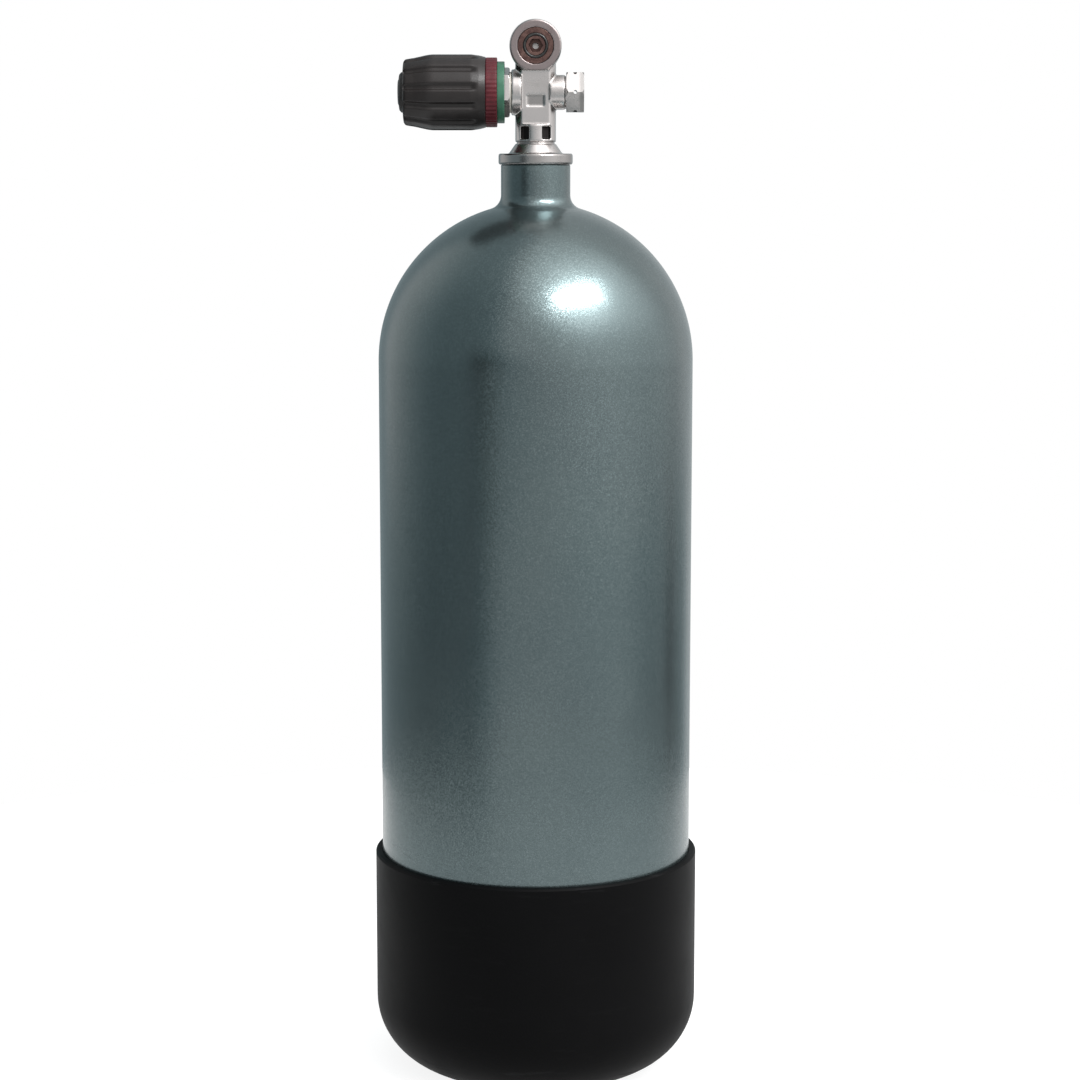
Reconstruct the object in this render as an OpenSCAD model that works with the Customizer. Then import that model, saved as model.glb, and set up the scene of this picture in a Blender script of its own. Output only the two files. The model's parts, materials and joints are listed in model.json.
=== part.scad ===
// Steel diving cylinder with a rubber boot and a convertible single-outlet valve.
// Millimetres, +Z up. The origin is the centre of the boot's flat base.
// The valve's outlet faces -Y, its handwheel points to -X and its burst plug to +X.

/* [Cylinder] */
// Outside diameter of the shell
cyl_d = 203.2; // [160:0.1:240]
// Length of the straight wall between the two hemispherical ends
cyl_straight = 357.9; // [200:0.1:500]
// Thickness of the shell
cyl_wall = 4.8; // [3:0.1:9]
// Outside diameter of the neck
neck_d = 44.5; // [40:0.1:54]
// Height of the neck above the crown of the dome
neck_h = 23.9; // [18:0.1:40]
// Radius of the fillet between neck and dome
neck_fillet = 9; // [3:0.5:12]
// Diameter of the neck thread
neck_thread_d = 26.4; // [24:0.1:30]

/* [Boot] */
// Wall of the boot
boot_wall = 4.3; // [3:0.1:8]
// Height of the boot
boot_h = 145; // [90:1:170]
// Radius of the rounded bottom corner
boot_corner = 46; // [20:1:55]
// Thickness of the boot's floor
boot_floor = 5; // [3:0.5:8]
// Gap between the boot's floor and the lowest point of the shell
boot_gap = 4; // [2:0.5:12]
// Number of ribs that carry the round end of the shell
rib_count = 12; // [6:2:20]
// Thickness of each rib
rib_t = 3; // [2:0.5:5]
// Diameter of each drain hole in the floor
drain_d = 12; // [6:1:16]

/* [Valve body] */
// Diameter of the flange that rests on the neck
flange_d = 47.6; // [46:0.1:60]
// Thickness of the flange
flange_h = 7; // [4:0.5:10]
// Length of the threaded stub inside the neck
stub_h = 24; // [16:0.5:30]
// Diameter of the upright column
column_d = 26; // [24:0.5:32]
// Height of the handwheel axis above the flange
wheel_axis_h = 38.6; // [36:0.1:50]
// Height of the outlet axis above the handwheel axis
outlet_axis_h = 29; // [27:0.1:36]
// Diameter of the outlet head
head_d = 33.2; // [30:0.1:40]
// Depth of the outlet head, from sealing face to back face
head_depth = 27; // [24:0.5:34]
// Width of the milled pad on the front and back of the column
pad_w = 18; // [12:0.5:20]
// Height of the milled pad
pad_h = 34; // [28:0.5:36]
// Diameter of the boss on the handwheel side
boss_d = 29; // [27:0.5:34]
// Distance from the column's axis to the end of that boss
boss_end = 15.5; // [15:0.5:20]
// Diameter of the boss on the burst plug side
plug_boss_d = 22; // [18:0.5:26]
// Distance from the column's axis to the end of that boss
plug_boss_end = 19; // [17:0.5:24]
// Bore of the gas passages
passage_d = 5; // [3:0.5:6]

/* [Outlet] */
// Diameter of the outlet thread
outlet_thread_d = 22.9; // [20:0.1:24]
// Length of the outlet thread
outlet_thread_h = 10; // [8:0.5:12]
// Across flats of the key socket in the insert
insert_key = 8; // [6:1:10]
// Inside diameter of the face O-ring
face_ring_id = 12.42; // [11:0.01:14]
// Section of the face O-ring
face_ring_section = 1.78; // [1.5:0.01:2.2]

/* [Bonnet and stem] */
// Across flats of the bonnet nut
bonnet_af = 28; // [26:0.5:32]
// Length of the bonnet nut's hexagon
bonnet_hex_h = 5.5; // [5:0.5:10]
// Diameter of the bonnet thread
bonnet_thread_d = 21; // [20:0.5:24]
// Diameter of the stem
stem_d = 8; // [6:0.1:9.6]
// Across flats of the stem's square
stem_square = 5.5; // [4:0.1:6]
// Diameter of the seat plug
seat_plug_d = 16; // [13:0.1:18]
// Travel of the seat plug from closed to open
seat_travel = 2.86; // [2:0.01:3.2]

/* [Handwheel] */
// Length of the handwheel, from its inner ring to the end cap
wheel_len = 65.1; // [54:0.1:75]
// Diameter at the middle of the barrel-shaped grip
grip_d = 47.8; // [44:0.1:54]
// Diameter of the grip where it meets the red ring
grip_inner_d = 44.4; // [42:0.1:46]
// Diameter of the grip at its outer end
grip_outer_d = 41; // [38:0.1:44]
// Number of flutes along the grip
flute_count = 12; // [6:1:16]
// Diameter of the moulded core under the grip
core_d = 35; // [32:0.5:38]
// Width of the red ring
red_ring_w = 7.3; // [4:0.1:9]
// Diameter of the red ring
red_ring_d = 44; // [42:0.1:46]
// Width of the green ring
green_ring_w = 1.7; // [1:0.1:3]
// How far the innermost ring reaches past the core, round the bonnet nut
green_ring_reach = 3; // [0:0.1:4]
// Diameter of the green ring
green_ring_d = 39; // [37:0.1:41]
// Travel of the handwheel when it is pulled against its spring
pull_travel = 2; // [1:0.1:3]

/* [Burst plug] */
// Across flats of the plug's hexagon
plug_af = 25; // [18:0.5:26]
// Length of the plug's hexagon
plug_hex_h = 11.2; // [8:0.1:14]
// Diameter of the plug's thread
plug_thread_d = 9.5; // [8:0.1:12]
// Diameter of the vent holes
vent_d = 2.4; // [1.5:0.1:3]

/* [Hidden] */
$fn = 96;
// Overshoot of cutting tools past a face
over = 1;
// Clearance between pieces that are screwed or pressed together
fit_gap = 0.05;
// Clearance between faces that move past each other
face_gap = 0.1;

// Cylinder
cyl_r = cyl_d / 2;
cyl_low_z = boot_floor + boot_gap;
low_centre_z = cyl_low_z + cyl_r;
high_centre_z = low_centre_z + cyl_straight;
neck_r = neck_d / 2;
neck_top_z = high_centre_z + cyl_r + neck_h;
fillet_z = high_centre_z + sqrt(pow(cyl_r + neck_fillet, 2) - pow(neck_r + neck_fillet, 2));

// Boot
boot_inner_r = cyl_r + 0.2;
boot_r = boot_inner_r + boot_wall;
boot_base_r = boot_r - boot_corner;
rib_inner_r = 22;
rib_top_z = low_centre_z - 30;
drain_pitch_r = 0.62 * boot_base_r;
boot_lip = 1.2;

// Valve levels
flange_z = neck_top_z;
flange_top_z = flange_z + flange_h;
wheel_z = flange_top_z + wheel_axis_h;
outlet_z = wheel_z + outlet_axis_h;
stub_r = neck_thread_d / 2 - fit_gap;
stub_z = flange_z - stub_h;
column_r = column_d / 2;
shoulder_r = column_r + 4.2;
shoulder_h = 6;
undercut_h = 1.5;
undercut_depth = 1;
pad_y = sqrt(pow(column_r, 2) - pow(pad_w / 2, 2));
pad_z = flange_top_z + 18.5;
badge_w = 11.2;
badge_h = 7.3;
badge_z = flange_top_z + 33.4;
badge_depth = 0.8;
slot_w = 6.5;
slot_h = 8;
slot_z = flange_top_z + 13;
slot_depth = 3;
slot_angle = 34;
inlet_d = 7;
// Distance of the riser passage from the column's axis
riser_x = 4.4;
riser_d = 4.4;
// Passage from the seat chamber up to the outlet
outlet_riser_x = -5;
outlet_riser_y = 1.5;
outlet_riser_d = 4;

// Neck O-ring and its recess in the top of the neck
neck_ring_section = 3.2;
neck_ring_r = neck_thread_d / 2 + neck_ring_section / 2;
neck_recess_r = neck_ring_r + neck_ring_section / 2 + fit_gap;
neck_recess_h = neck_ring_section + fit_gap;

// Dip tube
dip_tube_len = 60;
dip_tube_r = 4.2;
dip_tube_bore_r = 2.8;
dip_tube_grip = 8;

// Outlet, measured from the sealing face into the head
head_r = head_d / 2;
outlet_r = outlet_thread_d / 2;
outlet_nose_r = outlet_r - 2.4;
outlet_pocket_h = outlet_thread_h + 6;
insert_sink = 0.3;
insert_len = outlet_thread_h + 3.6;
insert_r = outlet_r - fit_gap;
insert_nose_r = outlet_nose_r - fit_gap;
insert_thread_end = outlet_thread_h - 0.3;
insert_bore_r = 2;
insert_key_depth = 7;
face_ring_r = (face_ring_id + face_ring_section) / 2;
face_groove_h = 1.35;
face_groove_w = face_ring_section + 0.2;
nose_ring_section = 2.4;
nose_ring_r = insert_nose_r - nose_ring_section / 2;
nose_ring_at = insert_thread_end + 2;
dimple_r = 5;
dimple_h = 3.2;

// Handwheel axis: every value is a distance from the column's axis towards the handwheel
seat_at = 0;
seat_lip_h = 1;
seat_lip_r = 4;
chamber_r = seat_plug_d / 2 + fit_gap;
disc_r = 4.6;
disc_h = 2.2;
disc_proud = 1;
plug_at = seat_at + disc_proud;
plug_len = 8;
plug_slot_at = plug_at + 2.4;
plug_slot_w = 3;
tang_at = plug_slot_at + seat_travel + 0.3;
tang_w = plug_slot_w - 0.2;
tang_span = 11;
bonnet_in_at = plug_at + plug_len + seat_travel + 0.4;
collar_at = bonnet_in_at + face_gap;
collar_h = 1.8;
collar_r = 6.5;
washer_h = 1;
washer_at = collar_at + collar_h;
bonnet_pocket_r = collar_r + 0.6;
bonnet_pocket_end = washer_at + washer_h;
gasket_h = 1;
bonnet_hex_at = boss_end + gasket_h;
bonnet_end = bonnet_hex_at + bonnet_hex_h;
// Angle at which the tightened bonnet nut has come to rest
bonnet_turn = 11;
bonnet_thread_r = bonnet_thread_d / 2;
stem_r = stem_d / 2;
stem_bore_r = stem_r + 0.05;
stem_ring_section = 1.78;
stem_ring_r = stem_r + stem_ring_section / 2 + 0.03;
stem_groove_r = stem_ring_r + stem_ring_section / 2 + fit_gap;
stem_groove_w = stem_ring_section + 0.3;
stem_ring_pitch = 3;
stem_ring_first = (bonnet_pocket_end + bonnet_end - stem_ring_pitch) / 2;

// Handwheel
spacer_h = 0.7;
spacer_r = 9;
wheel_at = bonnet_end + spacer_h + face_gap;
wheel_end = wheel_at + wheel_len;
cap_h = 3.6;
cap_r = 12.8;
grip_end = wheel_end - cap_h;
red_at = wheel_at + green_ring_w;
grip_at = red_at + red_ring_w;
core_r = core_d / 2;
skirt_r = core_r - 2.3;
hub_r = 7.5;
hub_bore_r = stem_r + 0.2;
pocket_r = 8;
spring_wire_r = 0.6;
spring_turns = 4;
spring_spare = 1.2;
spring_room = 2 * spring_turns * spring_wire_r + pull_travel + spring_spare;
nut_flange_r = 6.8;
nut_flange_h = 1.2;
nut_h = 5;
nut_af = 9;
nut_at = grip_end - 8;
web_end = nut_at - spring_room;
web_at = web_end - 12;
stem_end = nut_at + nut_h + 1;
stem_thread_r = 2.5;
cap_spigot = 1.7;
cap_spigot_wall = 1;
grip_taper_len = 9;
grip_round_len = 16;
flute_r = 2.6;
flute_depth = 1.3;

// Spring under the stem nut
spring_mean_r = 5.6;
spring_steps = 16;
spring_sides = 6;
spring_low = web_end + spring_wire_r + fit_gap;
spring_high = nut_at - spring_wire_r - fit_gap;

// Burst plug: every value is a distance from the column's axis towards the plug
burst_seat_at = 8.5;
burst_disc_h = 0.6;
burst_gasket_h = 0.8;
plug_thread_at = burst_seat_at + burst_disc_h + burst_gasket_h;
plug_hex_at = plug_boss_end + 0.6;
plug_collar_r = plug_boss_d / 2 - 0.6;
plug_bore_r = 1.6;
plug_thread_r = plug_thread_d / 2;
plug_bore_end = plug_hex_at + 0.6 * plug_hex_h;

// Places its children on the handwheel axis: local +Z points to the handwheel, local +X up.
module on_wheel_axis(at = 0) {
  translate([0, 0, wheel_z]) rotate([0, -90, 0]) translate([0, 0, at]) children();
}

// Places its children on the burst plug's axis: local +Z points away from the valve.
module on_plug_axis(at = 0) {
  translate([0, 0, wheel_z]) rotate([0, 90, 0]) translate([0, 0, at]) children();
}

// Places its children on the outlet's axis: local +Z goes from the sealing face into the head.
module on_outlet_axis(at = 0) {
  translate([0, -head_depth / 2 + at, outlet_z]) rotate([-90, 0, 0]) children();
}

// Plain round tube.
module tube(outer_r, inner_r, h) {
  difference() {
    cylinder(r = outer_r, h = h);
    translate([0, 0, -over]) cylinder(r = inner_r, h = h + 2 * over);
  }
}

// O-ring lying in the XY plane.
module o_ring(mean_r, section) {
  rotate_extrude() translate([mean_r, 0]) circle(d = section);
}

// Cylinder whose two end edges are chamfered.
module chamfered(r, h, chamfer) {
  rotate_extrude() polygon([
    [0, 0], [r - chamfer, 0], [r, chamfer],
    [r, h - chamfer], [r - chamfer, h], [0, h]
  ]);
}

// Hexagonal prism with turned corners, its first corner on +X.
module hex_nut(af, h, chamfer) {
  corner_r = af / sqrt(3);
  intersection() {
    cylinder(r = corner_r, h = h, $fn = 6);
    chamfered(corner_r, h, chamfer);
  }
}

// Half outline of a straight shell with hemispherical ends.
module capsule_outline(r) {
  intersection() {
    translate([0, low_centre_z - r]) square([r, cyl_straight + 2 * r]);
    union() {
      translate([0, low_centre_z]) circle(r);
      translate([0, low_centre_z]) square([r, cyl_straight]);
      translate([0, high_centre_z]) circle(r);
    }
  }
}

// Half outline of the concave blend from the dome up into the neck.
module neck_blend_outline() {
  centre_r = neck_r + neck_fillet;
  share = cyl_r / (cyl_r + neck_fillet);
  foot = [centre_r * share, high_centre_z + (fillet_z - high_centre_z) * share];
  difference() {
    polygon([[0, foot[1] - 2], foot, [centre_r, fillet_z], [neck_r, fillet_z], [0, fillet_z]]);
    translate([centre_r, fillet_z]) circle(neck_fillet);
  }
}

module cylinder_shell() {
  color("#66757a") difference() {
    rotate_extrude() union() {
      capsule_outline(cyl_r);
      translate([0, high_centre_z]) square([neck_r, neck_top_z - high_centre_z]);
      neck_blend_outline();
    }
    rotate_extrude() capsule_outline(cyl_r - cyl_wall);
    translate([0, 0, high_centre_z]) cylinder(d = neck_thread_d, h = neck_top_z - high_centre_z + over);
    translate([0, 0, neck_top_z - neck_recess_h]) cylinder(r = neck_recess_r, h = neck_recess_h + over);
  }
}

// Half outline of a cup with a rounded corner, from a level up to a height.
module cup_outline(r, corner_centre_r, corner_r, low, top) {
  union() {
    translate([0, low]) square([corner_centre_r, top - low]);
    translate([0, low + corner_r]) square([r, top - low - corner_r]);
    intersection() {
      translate([corner_centre_r, low + corner_r]) circle(corner_r);
      translate([corner_centre_r, low]) square([corner_r, corner_r]);
    }
  }
}

module boot_cavity() {
  inner_corner = boot_corner - boot_wall;
  rotate_extrude() cup_outline(boot_inner_r, boot_base_r, inner_corner, boot_corner - inner_corner,
                               boot_h + over);
}

module boot() {
  color("#151617") union() {
    difference() {
      rotate_extrude() difference() {
        cup_outline(boot_r, boot_base_r, boot_corner, 0, boot_h);
        polygon([
          [boot_r - boot_lip, boot_h + 0.01], [boot_r + over, boot_h + 0.01],
          [boot_r + over, boot_h - boot_lip - over], [boot_r, boot_h - boot_lip]
        ]);
      }
      intersection() {
        boot_cavity();
        translate([0, 0, boot_floor]) cylinder(r = boot_r, h = boot_h);
      }
      boot_drains();
    }
    boot_ribs();
  }
}

module boot_drains() {
  for (i = [0 : rib_count / 2 - 1])
    rotate([0, 0, (2 * i + 0.5) * 360 / rib_count])
      translate([drain_pitch_r, 0, -over]) cylinder(d = drain_d, h = boot_floor + 2 * over);
}

// Radial plates between floor and shell, cut to the shell's round end.
module boot_ribs() {
  difference() {
    intersection() {
      for (i = [0 : rib_count - 1])
        rotate([0, 0, i * 360 / rib_count])
          translate([rib_inner_r, -rib_t / 2, boot_floor - 0.5])
            cube([boot_inner_r - rib_inner_r + 0.5, rib_t, rib_top_z - boot_floor + 0.5]);
      rotate_extrude() cup_outline(boot_r - 1, boot_base_r, boot_corner - 1, 1, boot_h);
    }
    translate([0, 0, low_centre_z]) sphere(cyl_r);
  }
}

module neck_o_ring() {
  color("#141414") translate([0, 0, neck_top_z - neck_ring_section / 2 - fit_gap / 2])
    o_ring(neck_ring_r, neck_ring_section - 0.02);
}

// Stub, flange, shoulder, undercut and column as one turned outline.
module turned_column() {
  rotate_extrude() polygon([
    [0, stub_z], [stub_r - 1, stub_z], [stub_r, stub_z + 1], [stub_r, flange_z],
    [flange_d / 2 - 0.8, flange_z], [flange_d / 2, flange_z + 0.8],
    [flange_d / 2, flange_top_z - 0.8], [flange_d / 2 - 0.8, flange_top_z],
    [shoulder_r, flange_top_z], [column_r, flange_top_z + shoulder_h],
    [column_r - undercut_depth, flange_top_z + shoulder_h],
    [column_r - undercut_depth, flange_top_z + shoulder_h + undercut_h],
    [column_r, flange_top_z + shoulder_h + undercut_h],
    [column_r, outlet_z], [0, outlet_z]
  ]);
}

// Four upright slots for a pin spanner, two in front and two behind.
module spanner_slots() {
  for (side = [0, 180], turn = [-slot_angle, slot_angle])
    rotate([0, 0, side + turn])
      translate([-slot_w / 2, -column_r - over, slot_z - slot_h / 2])
        cube([slot_w, slot_depth + over, slot_h]);
}

// Milled pads on the front and back of the column, with a plain badge recess in the front one.
module pads() {
  for (side = [0, 180])
    rotate([0, 0, side])
      translate([-pad_w / 2, -boss_d, pad_z]) cube([pad_w, boss_d - pad_y, pad_h]);
  translate([-badge_w / 2, -pad_y - over, badge_z - badge_h / 2])
    cube([badge_w, badge_depth + over, badge_h]);
}

// Gas path: up the stub, across to the seat and the burst disc, out of the chamber to the outlet.
module gas_passages() {
  translate([0, 0, stub_z - over]) cylinder(d = inlet_d, h = stub_h + flange_h);
  translate([0, 0, stub_z - over]) cylinder(r = dip_tube_r + fit_gap, h = dip_tube_grip + over);
  translate([riser_x, 0, flange_z]) cylinder(d = riser_d, h = flange_h + wheel_axis_h);
  on_plug_axis(-seat_at - over) cylinder(d = passage_d, h = burst_seat_at + over);
  translate([outlet_riser_x, outlet_riser_y, wheel_z]) cylinder(d = outlet_riser_d, h = outlet_axis_h - 5);
}

// Bore on the handwheel side: chamber with a raised seat, then the bonnet's thread.
module wheel_side_bore() {
  difference() {
    on_wheel_axis(seat_at - seat_lip_h) cylinder(r = chamber_r, h = boss_end - seat_at + seat_lip_h + over);
    on_wheel_axis(seat_at - seat_lip_h - over) cylinder(r = seat_lip_r, h = seat_lip_h + over);
  }
  on_wheel_axis(bonnet_in_at - 0.2) cylinder(r = bonnet_thread_r, h = boss_end - bonnet_in_at + over);
}

module outlet_pocket() {
  on_outlet_axis(-over) cylinder(r = outlet_r, h = outlet_thread_h + over);
  on_outlet_axis(0) cylinder(r = outlet_nose_r, h = outlet_pocket_h);
}

module valve_body() {
  color("#b9babb") difference() {
    union() {
      turned_column();
      on_outlet_axis(0) chamfered(head_r, head_depth, 0.8);
      on_wheel_axis(0) chamfered(boss_d / 2, boss_end, 0.6);
      on_plug_axis(0) chamfered(plug_boss_d / 2, plug_boss_end, 0.6);
    }
    pads();
    spanner_slots();
    outlet_pocket();
    wheel_side_bore();
    on_plug_axis(burst_seat_at) cylinder(r = plug_thread_r + fit_gap, h = plug_boss_end);
    gas_passages();
    on_outlet_axis(head_depth - dimple_h) cylinder(r1 = 1, r2 = dimple_r, h = dimple_h + 0.01);
  }
}

module dip_tube() {
  color("#b08d57") translate([0, 0, stub_z + dip_tube_grip - dip_tube_len])
    tube(dip_tube_r, dip_tube_bore_r, dip_tube_len);
}

// Screwed-in adapter: thread, grooved nose, key socket and a face groove for the O-ring.
module outlet_insert() {
  color("#6b4b40") difference() {
    union() {
      on_outlet_axis(insert_sink) chamfered(insert_r, insert_thread_end - insert_sink, 0.3);
      on_outlet_axis(insert_thread_end - over) cylinder(r = insert_nose_r, h = insert_len - insert_thread_end + over);
    }
    on_outlet_axis(-over) cylinder(r = insert_bore_r, h = outlet_pocket_h + over);
    on_outlet_axis(-over) cylinder(r = insert_key / sqrt(3), h = insert_key_depth + over, $fn = 6);
    on_outlet_axis(-over)
      tube(face_ring_r + face_groove_w / 2, face_ring_r - face_groove_w / 2, insert_sink + face_groove_h + over);
    on_outlet_axis(nose_ring_at - nose_ring_section / 2 - 0.1)
      tube(outlet_r, nose_ring_r - nose_ring_section / 2 - 0.02, nose_ring_section + 0.2);
  }
}

module outlet_face_o_ring() {
  color("#101010") on_outlet_axis(insert_sink + face_groove_h - face_ring_section / 2)
    o_ring(face_ring_r, face_ring_section);
}

module insert_inner_o_ring() {
  color("#101010") on_outlet_axis(nose_ring_at) o_ring(nose_ring_r, nose_ring_section - 0.02);
}

module bonnet_nut() {
  color("#c9cacb") difference() {
    union() {
      on_wheel_axis(bonnet_in_at) chamfered(bonnet_thread_r - fit_gap, bonnet_hex_at - bonnet_in_at + over, 0.5);
      on_wheel_axis(bonnet_hex_at) rotate([0, 0, bonnet_turn]) hex_nut(bonnet_af, bonnet_hex_h, 1);
    }
    on_wheel_axis(bonnet_in_at - over) cylinder(r = bonnet_pocket_r, h = bonnet_pocket_end - bonnet_in_at + over);
    on_wheel_axis(bonnet_in_at) cylinder(r = stem_bore_r, h = bonnet_end);
    for (i = [0, 1])
      on_wheel_axis(stem_ring_first + i * stem_ring_pitch - stem_groove_w / 2)
        cylinder(r = stem_groove_r, h = stem_groove_w);
  }
}

module bonnet_gasket() {
  color("#d8d4c8") on_wheel_axis(boss_end) tube(bonnet_af / 2 - 1, bonnet_thread_r, gasket_h);
}

module stem_o_rings() {
  color("#101010") for (i = [0, 1])
    on_wheel_axis(stem_ring_first + i * stem_ring_pitch) o_ring(stem_ring_r, stem_ring_section);
}

// Turned stem with a tang inside, a thrust collar, a square for the handwheel and a threaded end.
module stem() {
  color("#b8bab8") union() {
    intersection() {
      on_wheel_axis(tang_at) translate([-tang_w / 2, -tang_span / 2, 0])
        cube([tang_w, tang_span, collar_at - tang_at + 0.5]);
      on_wheel_axis(tang_at) cylinder(r = tang_span / 2, h = collar_at - tang_at + 0.5);
    }
    on_wheel_axis(collar_at) cylinder(r = collar_r, h = collar_h);
    on_wheel_axis(collar_at) cylinder(r = stem_r, h = web_at - 2 - collar_at);
    on_wheel_axis(web_at - 3) translate([-stem_square / 2, -stem_square / 2, 0])
      cube([stem_square, stem_square, nut_at - web_at + 3]);
    on_wheel_axis(nut_at - 1) chamfered(stem_thread_r, stem_end - nut_at + 1, 0.5);
  }
}

module stem_washer() {
  color("#e8e6de") on_wheel_axis(washer_at) tube(collar_r, stem_r + 0.1, washer_h);
}

// Threaded plug that carries the seat disc and is turned by the stem's tang.
module seat_plug() {
  color("#b08d57") difference() {
    on_wheel_axis(plug_at) chamfered(seat_plug_d / 2, plug_len, 0.6);
    on_wheel_axis(plug_at - over) cylinder(r = disc_r, h = disc_h - disc_proud + over);
    on_wheel_axis(plug_slot_at) translate([-plug_slot_w / 2, -seat_plug_d, 0])
      cube([plug_slot_w, 2 * seat_plug_d, plug_len]);
  }
}

module seat_disc() {
  color("#e6e2d4") on_wheel_axis(seat_at) cylinder(r = disc_r - fit_gap, h = disc_h);
}

module knob_spacer() {
  color("#e8e6de") on_wheel_axis(bonnet_end) tube(spacer_r, stem_r + 0.3, spacer_h);
}

// Moulded core: a skirt over the bonnet, a hub on the stem, a web with the square and a spring pocket.
module knob_core() {
  color("#242424") difference() {
    on_wheel_axis(wheel_at) cylinder(r = core_r, h = grip_end - wheel_at);
    on_wheel_axis(wheel_at - over) tube(skirt_r, hub_r, web_at - wheel_at + over);
    on_wheel_axis(wheel_at - over) cylinder(r = hub_bore_r, h = web_at - wheel_at + over);
    on_wheel_axis(web_at - over) translate([-stem_square / 2 - 0.1, -stem_square / 2 - 0.1, 0])
      cube([stem_square + 0.2, stem_square + 0.2, web_end - web_at + 2 * over]);
    on_wheel_axis(web_end) cylinder(r = pocket_r, h = grip_end - web_end + over);
  }
}

// Half outline of the barrel-shaped rubber grip, along the handwheel axis.
module grip_outline() {
  polygon([
    [core_r, grip_at],
    [grip_inner_d / 2, grip_at],
    [grip_inner_d / 2 + 0.6 * (grip_d - grip_inner_d) / 2, grip_at + 0.45 * grip_taper_len],
    [grip_d / 2 - 0.1, grip_at + grip_taper_len],
    [grip_d / 2, grip_at + grip_taper_len + 8],
    [grip_d / 2 - 0.1, grip_end - grip_round_len],
    [grip_outer_d / 2 + 1.1, grip_end - 0.45 * grip_round_len],
    [grip_outer_d / 2, grip_end - 2],
    [grip_outer_d / 2 - 2, grip_end],
    [core_r, grip_end]
  ]);
}

module knob_grip() {
  flute_centre_r = grip_d / 2 + flute_r - flute_depth;
  color("#2b2827") difference() {
    on_wheel_axis(0) rotate_extrude() grip_outline();
    for (i = [0 : flute_count - 1])
      on_wheel_axis(grip_at + 0.5 * grip_taper_len)
        rotate([0, 0, (i + 0.25) * 360 / flute_count])
          translate([flute_centre_r, 0, 0]) cylinder(r = flute_r, h = wheel_len);
  }
}

module red_ring() {
  color("#8a1f28") on_wheel_axis(red_at) difference() {
    chamfered(red_ring_d / 2, red_ring_w, 0.4);
    translate([0, 0, -over]) cylinder(r = core_r, h = red_ring_w + 2 * over);
  }
}

module green_ring() {
  ring_h = green_ring_w + green_ring_reach;
  nut_room_r = max(core_r, bonnet_af / 2 / cos(30) + 0.8);
  color("#2f6b4f") on_wheel_axis(wheel_at - green_ring_reach) difference() {
    chamfered(green_ring_d / 2, ring_h, 0.3);
    translate([0, 0, -over]) cylinder(r = core_r, h = ring_h + 2 * over);
    translate([0, 0, -over]) cylinder(r = nut_room_r, h = green_ring_reach + over);
  }
}

// Domed cap that closes the spring pocket.
module knob_end_cap() {
  color("#1d1c1c") union() {
    on_wheel_axis(0) rotate_extrude() polygon([
      [0, grip_end], [cap_r, grip_end], [cap_r, grip_end + 0.5 * cap_h],
      [cap_r - 1.2, grip_end + 0.85 * cap_h], [cap_r - 3, wheel_end], [0, wheel_end]
    ]);
    on_wheel_axis(grip_end - cap_spigot)
      tube(pocket_r - fit_gap, pocket_r - cap_spigot_wall, cap_spigot + 0.5);
  }
}

// Points of one ring of the spring's wire, at turn angle a.
function spring_ring(a) = let (
  centre = [spring_mean_r * cos(a), spring_mean_r * sin(a),
            spring_low + (spring_high - spring_low) * a / (360 * spring_turns)],
  out = [cos(a), sin(a), 0]
) [for (k = [0 : spring_sides - 1])
    let (b = 360 * k / spring_sides)
    centre + spring_wire_r * (cos(b) * out + sin(b) * [0, 0, 1])];

module knob_spring() {
  rings = spring_turns * spring_steps;
  points = [for (i = [0 : rings]) each spring_ring(i * 360 / spring_steps)];
  sides = [for (i = [0 : rings - 1], k = [0 : spring_sides - 1])
    let (a = i * spring_sides + k, b = i * spring_sides + (k + 1) % spring_sides)
    [a, a + spring_sides, b + spring_sides, b]];
  first = [for (k = [0 : spring_sides - 1]) k];
  last = [for (k = [spring_sides - 1 : -1 : 0]) rings * spring_sides + k];
  color("#9a9c9e") on_wheel_axis(0) polyhedron(points, concat([first, last], sides));
}

module stem_nut() {
  color("#c2c3c4") on_wheel_axis(nut_at) difference() {
    union() {
      cylinder(r = nut_flange_r, h = nut_flange_h);
      hex_nut(nut_af, nut_h, 0.5);
    }
    translate([0, 0, -over]) cylinder(r = stem_thread_r, h = nut_h + 2 * over);
  }
}

// Safety plug: thread, collar and hexagon, with a centre bore that opens into side vents.
module burst_plug() {
  color("#b4b5b6") difference() {
    union() {
      on_plug_axis(plug_thread_at) cylinder(r = plug_thread_r, h = plug_hex_at - plug_thread_at);
      on_plug_axis(plug_boss_end) cylinder(r = plug_collar_r, h = plug_hex_at - plug_boss_end + 0.5);
      on_plug_axis(plug_hex_at) rotate([0, 0, 30]) hex_nut(plug_af, plug_hex_h, 1.2);
    }
    on_plug_axis(plug_thread_at - over) cylinder(r = plug_bore_r, h = plug_bore_end - plug_thread_at + over);
    for (i = [0 : 2])
      on_plug_axis(plug_hex_at + 0.5 * plug_hex_h)
        rotate([0, 0, i * 60]) rotate([90, 0, 0])
          translate([0, 0, -plug_af]) cylinder(d = vent_d, h = 2 * plug_af);
  }
}

module burst_gasket() {
  color("#b87333") on_plug_axis(burst_seat_at + burst_disc_h)
    tube(plug_thread_r, plug_bore_r + 1, burst_gasket_h);
}

module burst_disc() {
  color("#c08a4a") on_plug_axis(burst_seat_at) cylinder(r = plug_thread_r, h = burst_disc_h);
}

cylinder_shell();  // cylinder
boot();
neck_o_ring();
valve_body();
dip_tube();
outlet_insert();
outlet_face_o_ring();
insert_inner_o_ring();
bonnet_nut();
bonnet_gasket();
stem_o_rings();
stem();
stem_washer();
seat_plug();
seat_disc();
knob_spacer();
knob_core();
knob_grip();
red_ring();
green_ring();
knob_end_cap();
knob_spring();
stem_nut();
burst_plug();
burst_gasket();
burst_disc();
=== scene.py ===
import json
import math

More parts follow.
